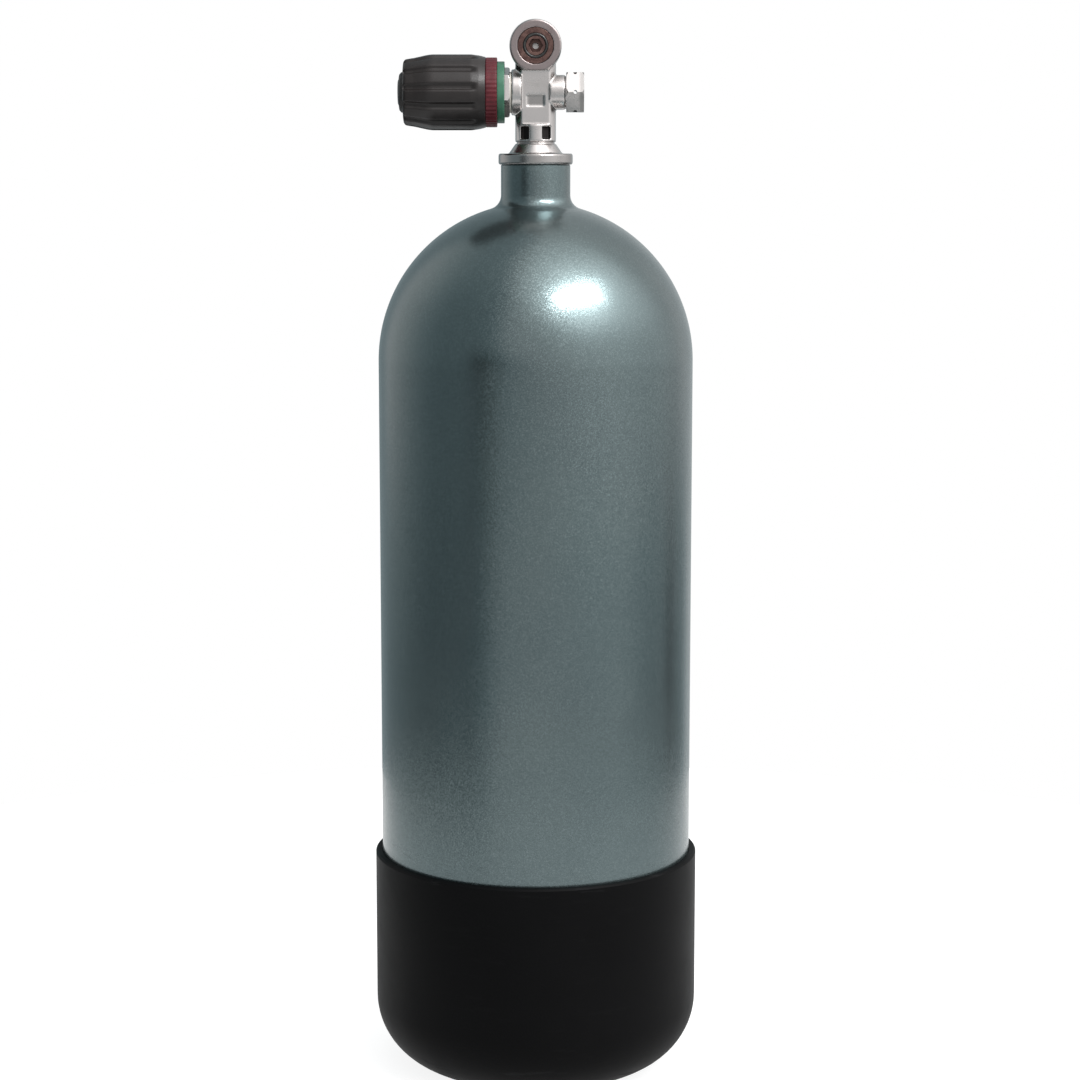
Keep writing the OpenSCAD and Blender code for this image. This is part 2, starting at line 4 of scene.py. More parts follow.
import bmesh
import bpy
import numpy as np
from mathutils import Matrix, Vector


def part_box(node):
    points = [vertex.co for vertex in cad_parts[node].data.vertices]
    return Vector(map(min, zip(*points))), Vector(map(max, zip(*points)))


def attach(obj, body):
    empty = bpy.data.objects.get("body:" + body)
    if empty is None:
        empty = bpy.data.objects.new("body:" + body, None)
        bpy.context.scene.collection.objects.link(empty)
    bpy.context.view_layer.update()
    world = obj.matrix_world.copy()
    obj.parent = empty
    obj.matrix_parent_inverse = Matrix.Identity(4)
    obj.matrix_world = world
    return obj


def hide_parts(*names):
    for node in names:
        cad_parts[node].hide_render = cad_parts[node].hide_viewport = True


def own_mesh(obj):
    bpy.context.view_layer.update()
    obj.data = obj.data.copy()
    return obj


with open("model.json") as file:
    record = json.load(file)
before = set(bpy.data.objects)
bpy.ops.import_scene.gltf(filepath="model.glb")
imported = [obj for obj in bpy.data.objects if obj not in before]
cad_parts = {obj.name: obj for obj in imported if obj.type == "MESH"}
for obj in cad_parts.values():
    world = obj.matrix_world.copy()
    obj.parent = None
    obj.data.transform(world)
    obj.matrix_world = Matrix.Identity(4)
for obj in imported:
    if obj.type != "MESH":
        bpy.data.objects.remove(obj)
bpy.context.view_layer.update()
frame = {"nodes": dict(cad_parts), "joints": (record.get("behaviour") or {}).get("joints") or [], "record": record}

MM = 0.001
TAU = 2 * math.pi

# ---------------------------------------------------------------- places taken from the frame
joints = {j["name"]: j for j in frame["joints"]}
mounts = {m["name"]: m for m in frame["record"]["mounts"]}

WHEEL_Z = joints["knob_turn"]["pos_m"][2]
OUTLET_Z = mounts["yoke_screw_dimple"]["pos_m"][2]
SHELL_LOW, SHELL_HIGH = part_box("cylinder")
BOOT_TOP_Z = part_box("boot")[1].z
OUTLET_FACE_Y = mounts["outlet_face"]["pos_m"][1]

# ---------------------------------------------------------------- driving sizes, in metres
SHELL_R = mounts["shell_band"]["dims"]["r_mm"] * MM
SHELL_WALL = 4.8 * MM
NECK_R = 22.25 * MM
NECK_FILLET = 9 * MM
NECK_BORE_R = 13.2 * MM
GRIP_CORE_R = 17.5 * MM
FLANGE_TOP_Z = WHEEL_Z - 38.6 * MM
SLOT_Z = FLANGE_TOP_Z + 13 * MM
BADGE_Z = FLANGE_TOP_Z + 33.4 * MM
FLUTES = 12
FLUTE_DEPTH = 1.5 * MM
SPRING_WIRE_R = 0.6 * MM
SPRING_TURNS = 5.0
PLUG_COLLAR_X = 28 * MM
FORGING_VOXEL = 0.5 * MM
TABLE_R = 0.85
SHOULDER_Z = 0.466


# ---------------------------------------------------------------- surfaces
def grid_faces(rows, columns, closed_rows):
    """Quads between neighbouring points of a rows-by-columns grid whose columns wrap round."""
    last = rows if closed_rows else rows - 1
    i, j = np.meshgrid(np.arange(last), np.arange(columns), indexing="ij")
    down, right = (i + 1) % rows, (j + 1) % columns
    corners = (i * columns + j, down * columns + j, down * columns + right, i * columns + right)
    return np.stack([c.ravel() for c in corners], 1)


def make_piece(name, points, body, replaces=(), closed_rows=False):
    """A closed surface from points[row, column]: columns wrap round, and a first or last row that has
    shrunk to a point becomes a pole. The faces are turned outwards by the sign of the enclosed volume."""
    rows, columns = points.shape[:2]
    flat = points.reshape(-1, 3)
    faces = grid_faces(rows, columns, closed_rows)
    mesh = bpy.data.meshes.new(name)
    a, b, c, d = (flat[faces[:, k]] for k in range(4))
    volume = (np.cross(a, b) * c).sum() + (np.cross(a, c) * d).sum()
    if volume < 0:
        faces = faces[:, ::-1]
    mesh.from_pydata(flat.tolist(), [], faces.tolist())
    clean = bmesh.new()
    clean.from_mesh(mesh)
    bmesh.ops.remove_doubles(clean, verts=clean.verts, dist=1e-6)
    bmesh.ops.dissolve_degenerate(clean, edges=clean.edges, dist=1e-7)
    clean.to_mesh(mesh)
    clean.free()
    mesh.polygons.foreach_set("use_smooth", np.ones(len(mesh.polygons), bool))
    piece = bpy.data.objects.new(name, mesh)
    bpy.context.scene.collection.objects.link(piece)
    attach(piece, body)
    if replaces:
        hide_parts(*replaces)
    return piece


def rounded(corners, steps=6):
    """Outline through corners (radius, height, rounding): each corner with a rounding becomes the arc that
    touches both of its sides, worked out from the bisector of the two side directions."""
    out = [np.array(corners[0][:2], float)]
    for before, here, after in zip(corners, corners[1:], corners[2:]):
        p = np.array(here[:2], float)
        u = np.array(before[:2], float) - p
        v = np.array(after[:2], float) - p
        u, v = u / np.linalg.norm(u), v / np.linalg.norm(v)
        half = 0.5 * math.acos(float(np.clip(u @ v, -1, 1)))
        if here[2] <= 0 or half > 1.55:
            out.append(p)
            continue
        reach = here[2] / math.tan(half)
        centre = p + (u + v) / np.linalg.norm(u + v) * here[2] / math.sin(half)
        start, end = p + u * reach - centre, p + v * reach - centre
        a0, a1 = math.atan2(start[1], start[0]), math.atan2(end[1], end[0])
        turn = (a1 - a0 + math.pi) % TAU - math.pi
        for t in np.linspace(0, 1, steps + 1):
            out.append(centre + here[2] * np.array([math.cos(a0 + turn * t), math.sin(a0 + turn * t)]))
    out.append(np.array(corners[-1][:2], float))
    return np.array(out)


def subdivided(outline, longest):
    """The same outline with points added evenly so that no side is longer than the given length."""
    parts = [outline[:1]]
    for a, b in zip(outline, outline[1:]):
        count = max(1, math.ceil(np.linalg.norm(b - a) / longest))
        parts.append(a + (b - a) * (np.arange(1, count + 1) / count)[:, None])
    return np.concatenate(parts)


def arc(centre_r, centre_h, radius, start_deg, end_deg, steps):
    """Points of a circle's arc in the outline plane, angles counted from the radial direction."""
    t = np.radians(np.linspace(start_deg, end_deg, steps + 1))
    return np.stack([centre_r + radius * np.cos(t), centre_h + radius * np.sin(t)], 1)


# Each axis: its origin, then the directions of angle 0, angle 90 and height.
UPRIGHT = (Vector((0, 0, 0)), Vector((1, 0, 0)), Vector((0, 1, 0)), Vector((0, 0, 1)))
WHEEL_AXIS = (Vector((0, 0, WHEEL_Z)), Vector((0, 0, 1)), Vector((0, 1, 0)), Vector((-1, 0, 0)))


def lathe(outline, axis, segments=128, radius_of=None):
    """Surface of revolution: the point at angle t and outline step i is
    origin + r cos t * first + r sin t * second + h * height, where r may be changed by radius_of(r, h, t)."""
    origin, first, second, height = (np.array(v) for v in axis)
    t = np.arange(segments) / segments * TAU
    r = np.repeat(outline[:, :1], segments, 1)
    h = np.repeat(outline[:, 1:], segments, 1)
    if radius_of is not None:
        r = radius_of(r, h, t[None, :])
    return (origin + (r * np.cos(t))[..., None] * first + (r * np.sin(t))[..., None] * second
            + h[..., None] * height)


def tube(path, radius, sides):
    """Round tube: at each path point a circle of the given radius in the plane of the point's normal and
    binormal, both taken from the path's tangent and the direction away from the path's own axis (X)."""
    tangent = np.gradient(path, axis=0)
    tangent /= np.linalg.norm(tangent, axis=1)[:, None]
    away = path - np.array([0, 0, WHEEL_Z])
    away[:, 0] = 0
    away -= (away * tangent).sum(1)[:, None] * tangent
    away /= np.linalg.norm(away, axis=1)[:, None]
    side = np.cross(tangent, away)
    t = np.arange(sides) / sides * TAU
    ring = np.cos(t)[None, :, None] * away[:, None] + np.sin(t)[None, :, None] * side[:, None]
    body = path[:, None] + radius * ring
    ends = [np.repeat(path[k][None, None], sides, 1) for k in (0, -1)]
    return np.concatenate([ends[0], body, ends[1]])


def joined_copy(node, name, whole_flats=False):
    """An object with a copy of a CAD node's mesh: its triangles joined, its materials and normals dropped.
    With whole_flats each flat area is one face, made in the same pass, as its outcome follows the order."""
    mesh = frame["nodes"][node].data.copy()
    join = bmesh.new()
    join.from_mesh(mesh)
    bmesh.ops.remove_doubles(join, verts=join.verts, dist=2e-6)
    if whole_flats:
        bmesh.ops.dissolve_limit(join, angle_limit=math.radians(0.6), verts=join.verts, edges=join.edges)
    join.to_mesh(mesh)
    join.free()
    mesh.materials.clear()
    if mesh.has_custom_normals:
        mesh.attributes.remove(mesh.attributes["custom_normal"])
    piece = bpy.data.objects.new(name, mesh)
    bpy.context.scene.collection.objects.link(piece)
    return piece


def softened(node, width, segments=2, angle=28):
    """A joined copy of a CAD node with its flat areas made whole and its sharp edges rounded."""
    piece = joined_copy(node, node + "_finished", whole_flats=True)
    piece.data.polygons.foreach_set("use_smooth", np.ones(len(piece.data.polygons), bool))
    bevel = piece.modifiers.new("rounded_edges", "BEVEL")
    bevel.width = width
    bevel.segments = segments
    bevel.limit_method = "ANGLE"
    bevel.angle_limit = math.radians(angle)
    bevel.harden_normals = True
    return piece


# ---------------------------------------------------------------- shader maths
class Value:
    """A socket of a material's node tree. Arithmetic on it adds Math nodes to the same tree."""

    def __init__(self, finish, socket):
        self.finish, self.socket = finish, socket

    def _with(self, operation, first, second=0.0):
        return self.finish.node("ShaderNodeMath", {"operation": operation}, {0: first, 1: second})

    def __add__(self, other):
        return self._with("ADD", self, other)

    def __radd__(self, other):
        return self._with("ADD", other, self)

    def __sub__(self, other):
        return self._with("SUBTRACT", self, other)

    def __rsub__(self, other):
        return self._with("SUBTRACT", other, self)

    def __mul__(self, other):
        return self._with("MULTIPLY", self, other)

    def __rmul__(self, other):
        return self._with("MULTIPLY", other, self)

    def __pow__(self, other):
        return self._with("POWER", self, other)

    def __abs__(self):
        return self._with("ABSOLUTE", self)

    def above(self, low, high):
        """0 below low, 1 above high, and an S-curve between."""
        return self.finish.node(
            "ShaderNodeMapRange", {"interpolation_type": "SMOOTHSTEP"},
            {"Value": self, "From Min": low, "From Max": high})

    def between(self, rise, fall):
        """1 between two S-curves, each given by the values where it starts and ends."""
        return self.above(*rise) * (1 - self.above(*fall))

    def sine(self):
        return self._with("SINE", self)

    def angle_from(self, other):
        """Angle in degrees whose tangent is this value over the other."""
        return self._with("ARCTAN2", self, other) * (360 / TAU)


class Nodes:
    """A node tree under construction; every node is added by node()."""

    def __init__(self, owner):
        owner.use_nodes = True
        self.tree = owner.node_tree
        self.tree.nodes.clear()

    def node(self, kind, settings, inputs, output=0):
        made = self.tree.nodes.new(kind)
        for key, value in settings.items():
            setattr(made, key, value)
        for key, value in inputs.items():
            socket = made.inputs[key]
            if isinstance(value, Value):
                self.tree.links.new(value.socket, socket)
            else:
                wide = socket.type == "RGBA" and len(value) == 3
                socket.default_value = (*value, 1) if wide else value
        return Value(self, made.outputs[output]) if made.outputs else None

    def mix(self, share, first, second):
        return self.node("ShaderNodeMix", {"data_type": "RGBA"}, {0: share, 6: first, 7: second}, 2)

    def vector(self, operation, first, second=(0, 0, 0)):
        return self.node("ShaderNodeVectorMath", {"operation": operation}, {0: first, 1: second})

    def part(self, vector, letter):
        return self.node("ShaderNodeSeparateXYZ", {}, {0: vector}, letter)


class Finish(Nodes):
    """A material: textures are placed by the object's own coordinates, and principled() completes it."""

    def __init__(self, name):
        self.material = bpy.data.materials.new(name)
        super().__init__(self.material)
        self.place = self.node("ShaderNodeTexCoord", {}, {}, "Object")

    def axis(self, letter):
        return self.part(self.place, letter)

    def scaled(self, factors):
        return self.node("ShaderNodeMapping", {}, {"Vector": self.place, "Scale": factors})

    def noise(self, scale, detail=4.0, roughness=0.55, place=None):
        return self.node("ShaderNodeTexNoise", {}, {
            "Vector": place or self.place, "Scale": scale, "Detail": detail, "Roughness": roughness})

    def cells(self, scale, output="Distance", place=None):
        return self.node("ShaderNodeTexVoronoi", {}, {"Vector": place or self.place, "Scale": scale}, output)

    def bump(self, height, distance, strength=1.0, normal=None):
        inputs = {"Height": height, "Distance": distance, "Strength": strength}
        if normal is not None:
            inputs["Normal"] = normal
        return self.node("ShaderNodeBump", {}, inputs)

    def principled(self, **inputs):
        named = {key.replace("_", " ").title().replace("Ior", "IOR"): value for key, value in inputs.items()}
        shader = self.node("ShaderNodeBsdfPrincipled", {}, named)
        self.node("ShaderNodeOutputMaterial", {}, {"Surface": shader})
        return self.material


# ---------------------------------------------------------------- finishes
def shell_paint():
    """Metallic grey-green paint: cloudy tone, small bright flakes that lean every way, a clear coat with
    a faint orange peel, and dull handling marks where the boot's edge rubs."""
    f = Finish("shell_paint")
    cloud = f.noise(9, 3).above(0.3, 0.7)
    tone = f.mix(cloud, (0.104, 0.137, 0.142), (0.117, 0.152, 0.155))
    flake_colour = f.cells(1900, "Color")
    flake = f.part(flake_colour, "X")
    colour = f.mix(flake.above(0.6, 1.0) * 0.16, tone, (0.34, 0.41, 0.42))
    colour = f.mix((1 - flake).above(0.7, 1.0) * 0.18, colour, (0.05, 0.07, 0.073))
    height = f.axis("Z")
    rub_low = 1 - (height - BOOT_TOP_Z).above(0.0, 0.022)
    scuff = f.noise(60, 5, 0.7, f.scaled((1, 1, 3))).above(0.56, 0.68) * rub_low
    colour = f.mix(scuff * 0.25, colour, (0.08, 0.10, 0.10))
    surface = f.node("ShaderNodeNewGeometry", {}, {}, "Normal")
    lean = f.vector("MULTIPLY", f.vector("SUBTRACT", flake_colour, (0.5, 0.5, 0.5)), (0.07, 0.07, 0.07))
    leaning = f.vector("NORMALIZE", f.vector("ADD", surface, lean))
    normal = f.bump(f.noise(420, 2, 0.5), 0.00002, 0.5, leaning)
    rough = 0.22 + f.noise(35, 4) * 0.06 + scuff * 0.2
    return f.principled(
        base_color=colour, metallic=0.9, roughness=rough, normal=normal,
        coat_weight=0.25, coat_roughness=0.12, coat_ior=1.45)


def boot_rubber():
    """Moulded black rubber: fine pebbled skin, faint grey bloom, scuffs at the corner and the rim."""
    f = Finish("boot_rubber")
    height = f.axis("Z")
    low = 1 - height.above(0.008, 0.045)
    rim = (height - BOOT_TOP_Z).above(-0.006, -0.001)
    scratches = f.noise(26, 8, 0.7, f.scaled((1, 1, 7))).above(0.57, 0.66)
    worn = scratches * (low * 0.8 + rim * 0.6 + 0.05)
    bloom = f.noise(14, 5, 0.6).above(0.35, 0.75)
    colour = f.mix(bloom * 0.5, (0.0014, 0.0014, 0.0016), (0.0028, 0.0028, 0.0031))
    colour = f.mix(worn * 0.5, colour, (0.022, 0.022, 0.023))
    skin = f.cells(900) * 0.6 + f.noise(2200, 2) * 0.4
    normal = f.bump(skin, 0.00008, 0.5, f.bump(f.noise(30, 4), 0.0004, 0.25))
    rough = 0.47 + bloom * 0.10 + worn * 0.22
    return f.principled(base_color=colour, roughness=rough, normal=normal, specular_ior_level=0.06)


def within(value, centre, half, edge):
    """1 where a value lies within half of a centre, falling to 0 over the edge."""
    return 1 - abs(value - centre).above(half - 0.5 * edge, half + 0.5 * edge)


def chrome_plate():
    """Satin plating over a forging: uneven tone, fine polishing lines, dull specks, a duller burst plug, painted
    shade in the spanner-slot hollows, in the badge recess and on the flange, and the outlet's sealing face painted
    dark brown in place of a darker reflection."""
    f = Finish("chrome_plate")
    x, y, z = (f.axis(letter) for letter in "XYZ")
    across = (x * x + y * y) ** 0.5
    # painted shade: the spanner-slot hollows are coloured almost black where shade falls in them
    slot_shade = within(z, SLOT_Z, 4.6 * MM, 0.6 * MM) * (1 - across.above(12.2 * MM, 12.75 * MM))
    slot_shade = slot_shade * within(abs(x), 7.2 * MM, 3.6 * MM, 0.5 * MM)
    # painted shade: the floor of the badge recess is darkened where shade falls in it
    badge = within(z, BADGE_Z, 3.7 * MM, 0.4 * MM) * within(x, 0, 5.6 * MM, 0.4 * MM)
    badge = badge * within(y, -8.6 * MM, 0.35 * MM, 0.2 * MM)
    # painted darker reflection: the outlet's sealing face gets a dark brown colour that stands in for a darker
    # reflection
    face = 1 - y.above(OUTLET_FACE_Y, OUTLET_FACE_Y + 0.6 * MM)
    face = face * z.above(OUTLET_Z - 20 * MM, OUTLET_Z - 17 * MM)
    lines = f.noise(300, 3, 0.6, f.scaled((1, 1, 6)))
    specks = 1 - f.cells(420).above(0.0, 0.10)
    tarnish = f.noise(70, 5, 0.65).above(0.50, 0.75)
    # painted shade: everything of the plating below the flange top is coloured darker
    flange = 1 - z.above(FLANGE_TOP_Z - 0.5 * MM, FLANGE_TOP_Z + 0.5 * MM)
    colour = f.mix(tarnish * 0.55, (0.50, 0.475, 0.465), (0.34, 0.315, 0.305))
    # painted shade on the flange
    colour = f.mix(flange * 0.55, colour, (0.21, 0.205, 0.20))
    plug = x.above(PLUG_COLLAR_X - MM, PLUG_COLLAR_X + MM)
    colour = f.mix(plug * 0.6, colour, (0.19, 0.185, 0.18))
    colour = f.mix(specks * 0.35, colour, (0.20, 0.18, 0.17))
    # painted darker reflection on the sealing face, its strength varied by the tarnish noise
    colour = f.mix(face * (0.74 + 0.16 * tarnish), colour, (0.17, 0.125, 0.125))
    # painted shade in the badge recess
    colour = f.mix(badge * 0.55, colour, (0.16, 0.155, 0.15))
    # painted shade in the spanner-slot hollows
    colour = f.mix(slot_shade * 0.96, colour, (0.008, 0.006, 0.006))
    normal = f.bump(lines, 0.00003, 0.4, f.bump(f.noise(55, 3), 0.0004, 0.25))
    rough = 0.22 + tarnish * 0.12 + lines * 0.06 + face * 0.12 + slot_shade * 0.3 + plug * 0.2
    return f.principled(base_color=colour, metallic=1.0, roughness=rough, normal=normal)


def turned_metal(name, base, dull, rough_low, ring_axis, lines_per_metre):
    """Metal turned on a lathe: fine rings along its axis and cloudy tarnish."""
    f = Finish(name)
    rings = (f.axis(ring_axis) * (TAU * lines_per_metre)).sine() * 0.5 + 0.5
    tarnish = f.noise(160, 5, 0.65).above(0.45, 0.75)
    colour = f.mix(tarnish * 0.6, base, dull)
    normal = f.bump(rings + f.noise(900, 2) * 0.5, 0.00002, 0.5)
    rough = rough_low + tarnish * 0.15 + rings * 0.04
    return f.principled(base_color=colour, metallic=1.0, roughness=rough, normal=normal)


def grip_rubber():
    """Soft black rubber: brownish black, finely stippled, shinier and greyer on the lobes' crests."""
    f = Finish("grip_rubber")
    patch = f.noise(90, 5, 0.6).above(0.4, 0.7)
    y, z = f.axis("Y"), f.axis("Z") - WHEEL_Z
    out = (y * y + z * z) ** 0.5
    crest = out.above(0.0212, 0.0239)
    colour = f.mix(patch * 0.5, (0.009, 0.0062, 0.0056), (0.014, 0.0105, 0.0100))
    colour = f.mix(crest * 0.3, colour, (0.022, 0.019, 0.019))
    stipple = f.cells(1500) * 0.7 + f.noise(3000, 2) * 0.3
    normal = f.bump(stipple, 0.00007, 0.5)
    rough = 0.38 - crest * 0.06 + patch * 0.08
    return f.principled(base_color=colour, roughness=rough, normal=normal, specular_ior_level=0.36)


def seal_rubber():
    """Greased black seal rubber with a faint mould haze."""
    f = Finish("seal_rubber")
    haze = f.noise(500, 4, 0.6).above(0.4, 0.7)
    colour = f.mix(haze, (0.010, 0.0095, 0.009), (0.022, 0.021, 0.020))
    normal = f.bump(f.noise(2500, 3), 0.00003, 0.4)
    return f.principled(base_color=colour, roughness=0.28 + haze * 0.15, normal=normal)


def moulded_plastic(name, base, other, rough_low):
    """Moulded plastic: slight tone change, fine spark-eroded texture and handling shine."""
    f = Finish(name)
    shade = f.noise(120, 4, 0.6).above(0.35, 0.7)
    shine = f.noise(45, 3).above(0.5, 0.7)
    colour = f.mix(shade, base, other)
    normal = f.bump(f.noise(1800, 3, 0.7), 0.00004, 0.45)
    rough = rough_low + shade * 0.08 - shine * 0.06
    return f.principled(base_color=colour, roughness=rough, normal=normal, specular_ior_level=0.3)


def insert_bronze():
    """Dark reddish-brown bronze, blotched, with fine facing rings round the outlet's axis."""
    f = Finish("insert_bronze")
    x, z = f.axis("X"), f.axis("Z") - OUTLET_Z
    out = (x * x + z * z) ** 0.5
    rings = (out * (TAU * 2400)).sine() * 0.5 + 0.5
    blotch = f.noise(260, 6, 0.65).above(0.35, 0.7)
    colour = f.mix(blotch, (0.080, 0.043, 0.039), (0.150, 0.088, 0.075))
    normal = f.bump(rings, 0.00002, 0.4)
    return f.principled(base_color=colour, metallic=0.85, roughness=0.34 + blotch * 0.14, normal=normal)


PAINT = shell_paint()
BOOT = boot_rubber()
CHROME = chrome_plate()
BRONZE = insert_bronze()
BRASS = turned_metal("brass", (0.60, 0.42, 0.18), (0.33, 0.22, 0.10), 0.24, "Z", 1600)
PLUG_BRASS = turned_metal("plug_brass", (0.60, 0.42, 0.18), (0.33, 0.22, 0.10), 0.24, "X", 1600)
STEEL = turned_metal("steel", (0.55, 0.55, 0.54), (0.34, 0.33, 0.32), 0.22, "X", 1800)
COPPER = turned_metal("copper", (0.72, 0.36, 0.22), (0.36, 0.17, 0.11), 0.28, "X", 1200)
GRIP = grip_rubber()
SEAL = seal_rubber()
WHITE = moulded_plastic("white_plastic", (0.72, 0.70, 0.64), (0.62, 0.60, 0.54), 0.42)
BLACK = moulded_plastic("black_plastic", (0.022, 0.020, 0.019), (0.034, 0.031, 0.030), 0.42)
RED = moulded_plastic("red_plastic", (0.062, 0.005, 0.009), (0.090, 0.009, 0.014), 0.40)
GREEN = moulded_plastic("green_plastic", (0.030, 0.105, 0.065), (0.050, 0.150, 0.095), 0.33)


# ---------------------------------------------------------------- pieces
def finished(piece, node, body, material):
    """Registers a rounded copy of a CAD node in place of that node."""
    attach(piece, body)
    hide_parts(node)
    piece.data.materials.append(material)
    return piece


def make_shell():
    """Shell of revolution: outer round end, straight wall, dome, neck blend, neck, its rounded mouth with
    the seal recess, and the same way back inside at one wall's thickness."""
    low_centre = SHELL_LOW.z + SHELL_R
    neck_top = SHELL_HIGH.z
    high_centre = mounts["shell_band"]["pos_m"][2] + 0.5 * mounts["shell_band"]["dims"]["length_mm"] * MM
    blend_r = NECK_R + NECK_FILLET
    blend_z = high_centre + math.sqrt((SHELL_R + NECK_FILLET) ** 2 - blend_r ** 2)
    meet = math.degrees(math.atan2(blend_z - high_centre, blend_r))
    inner_r = SHELL_R - SHELL_WALL
    bore_deg = math.degrees(math.acos(NECK_BORE_R / inner_r))
    outside = np.concatenate([
        arc(0, low_centre, SHELL_R, -90, 0, 48),
        arc(0, high_centre, SHELL_R, 0, meet, 56),
        arc(blend_r, blend_z, NECK_FILLET, meet - 180, -180, 10)])
    mouth = rounded([
        (NECK_R, blend_z, 0), (NECK_R, neck_top, 0.8 * MM), (16.45 * MM, neck_top, 0.2 * MM),
        (16.45 * MM, neck_top - 3.25 * MM, 0.2 * MM), (NECK_BORE_R, neck_top - 3.25 * MM, 0.2 * MM),
        (NECK_BORE_R, high_centre + inner_r * math.sin(math.radians(bore_deg)), 0)])
    inside = np.concatenate([
        arc(0, high_centre, inner_r, bore_deg, 0, 40),
        arc(0, low_centre, inner_r, 0, -90, 40)])
    inside[-1, 0] = outside[0, 0] = 0
    outline = subdivided(np.concatenate([outside, mouth[1:], inside[1:]]), 12 * MM)
    shell = make_piece("shell", lathe(outline, UPRIGHT, 256), "root", ["cylinder"])
    shell.data.materials.append(PAINT)


def make_grip():
    """Fluted grip: barrel outline turned about the handwheel's axis, its radius lowered in each flute by
    depth times a flat-bottomed bell of the angle, fading out towards the inner ring."""
    low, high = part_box("knob_grip")
    start, end = -high.x, -low.x
    big = 0.5 * (high.z - low.z)
    outline = rounded([
        (GRIP_CORE_R, start, 0), (22.2 * MM, start, 0.5 * MM), (23.2 * MM, start + 4.0 * MM, 6 * MM),
        (big, start + 9 * MM, 14 * MM), (big, end - 17 * MM, 26 * MM), (21.7 * MM, end - 7 * MM, 12 * MM),
        (20.6 * MM, end, 2.6 * MM), (13.5 * MM, end, 0.6 * MM), (13.2 * MM, end - 1.2 * MM, 0.4 * MM),
        (GRIP_CORE_R, end - 1.2 * MM, 0), (GRIP_CORE_R, start, 0)], 8)
    outline = subdivided(outline[:-1], 1.2 * MM)
    phase = 0.25 * TAU / FLUTES

    def fluted(r, h, t):
        across = (t - phase + 0.5 * TAU / FLUTES) % (TAU / FLUTES) - 0.5 * TAU / FLUTES
        groove = np.exp(-((np.abs(across) * 23.5 * MM / (2.05 * MM)) ** 4))
        run = np.clip((h - start - 4.5 * MM) / (5 * MM), 0, 1)
        run = run * run * (3 - 2 * run)
        outer = np.clip((r - 19.2 * MM) / (1.2 * MM), 0, 1)
        return r - FLUTE_DEPTH * groove * run * outer

    grip = make_piece("grip", lathe(outline, WHEEL_AXIS, 384, fluted), "knob",
                      ["knob_grip"], closed_rows=True)
    grip.data.materials.append(GRIP)


def make_end_cap():
    """End cap: a shallow dome with a rolled edge and a turned step, and the spigot that clips it in."""
    low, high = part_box("knob_end_cap")
    face, end = -high.x + 1.7 * MM, -low.x
    cap = make_piece("end_cap", lathe(subdivided(rounded([
        (0, end, 0), (7.5 * MM, end, 2 * MM), (8.2 * MM, end - 0.5 * MM, 0.6 * MM),
        (11.2 * MM, end - 0.9 * MM, 1.6 * MM), (12.8 * MM, end - 2.2 * MM, 1.2 * MM),
        (12.8 * MM, face, 0.2 * MM), (7.95 * MM, face, 0.2 * MM), (7.95 * MM, -high.x, 0.3 * MM),
        (7.0 * MM, -high.x, 0.2 * MM), (7.0 * MM, face + 0.5 * MM, 0.3 * MM), (0, face + 0.5 * MM, 0)]),
        1.5 * MM), WHEEL_AXIS, 128), "knob", ["knob_end_cap"])
    cap.data.materials.append(BLACK)


def make_ring(node, material, inner_r, outer_r, edge, notches, notch_depth):
    """Coloured ring with rounded edges whose rim dips notch_depth in shallow waves of the angle."""
    low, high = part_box(node)
    start, end = -high.x, -low.x

    def waved(r, h, t):
        wave = 0.5 - 0.5 * np.cos(notches * t)
        return r - notch_depth * wave * (r > inner_r + 0.6 * (outer_r - inner_r))

    outline = rounded([
        (inner_r, start, 0), (outer_r, start, edge), (outer_r, end, edge), (inner_r, end, 0),
        (inner_r, start, 0)])
    ring = make_piece(node + "_moulded", lathe(subdivided(outline[:-1], 1.5 * MM), WHEEL_AXIS, 288, waved),
                      "knob", [node], closed_rows=True)
    ring.data.materials.append(material)


def make_spring():
    """Helix x = along, angle = turns * t with the pitch closed up over the first and last half turn."""
    low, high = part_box("knob_spring")
    wire = SPRING_WIRE_R
    mean_r = 0.5 * (high.z - low.z) - wire
    turns, steps = SPRING_TURNS, 240
    t = np.linspace(0, 1, steps)
    ease = np.clip((t * turns - 0.6) / (turns - 1.2), 0, 1)
    along = high.x - wire - ease * (high.x - low.x - 2 * wire - 2 * wire) - np.clip(t * turns, 0, 0.6) * wire
    along -= np.clip(t * turns - turns + 0.6, 0, 0.6) * wire
    angle = t * turns * TAU
    path = np.stack([along, mean_r * np.sin(angle), WHEEL_Z + mean_r * np.cos(angle)], 1)
    spring = make_piece("coil_spring", tube(path, wire, 10), "stem", ["knob_spring"])
    spring.data.materials.append(STEEL)
    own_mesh(spring)


def make_valve_body():
    """The forged body: a copy of the machined solid, rebuilt at half a millimetre and smoothed, so that
    every junction and edge gets the soft blend of a plated forging."""
    body = joined_copy("valve_body", "valve_forging")
    remesh = body.modifiers.new("rebuild", "REMESH")
    remesh.mode = "VOXEL"
    remesh.voxel_size = FORGING_VOXEL
    remesh.use_smooth_shade = True
    smooth = body.modifiers.new("soften", "SMOOTH")
    smooth.factor = 0.5
    smooth.iterations = 4
    bpy.context.view_layer.update()
    done = bpy.data.meshes.new_from_object(body.evaluated_get(bpy.context.evaluated_depsgraph_get()))
    body.modifiers.clear()
    body.data = done
    done.polygons.foreach_set("use_smooth", np.ones(len(done.polygons), bool))
    finished(body, "valve_body", "root", CHROME)


make_shell()
make_grip()
make_end_cap()
make_ring("red_ring", RED, GRIP_CORE_R, 22.0 * MM, 0.6 * MM, 48, 0.25 * MM)
make_ring("green_ring", GREEN, GRIP_CORE_R, 19.5 * MM, 0.4 * MM, 48, 0.0)
make_spring()
make_valve_body()

